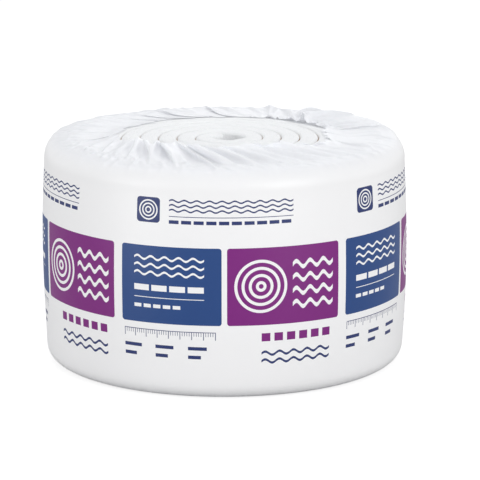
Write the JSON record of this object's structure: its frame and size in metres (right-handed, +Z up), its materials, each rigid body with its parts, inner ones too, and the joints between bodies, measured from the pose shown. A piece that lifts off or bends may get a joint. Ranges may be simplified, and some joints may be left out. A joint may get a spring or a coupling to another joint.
{
  "type": "insulation roll",
  "caption": "Squat roll of faced glass-wool blanket standing on its end in a printed white film sleeve gathered over both ends.",
  "frame": {"origin": "middle of the roll's lower end, on the floor that it stands on", "axes": "+Z up along the roll's own axis; -Y faces the viewer of the reference view"},
  "size_m": [0.6381, 0.6382, 0.393],
  "materials": {
    "glass_wool": "white fibrous wool with thin brown kraft paper between the turns",
    "printed_film": "white polyethylene film, soft gloss, with blue and purple printed panels"
  },
  "bodies": {
    "root": {"insulation_roll": "glass_wool", "film_wrap": "printed_film"}
  },
  "joints": []
}
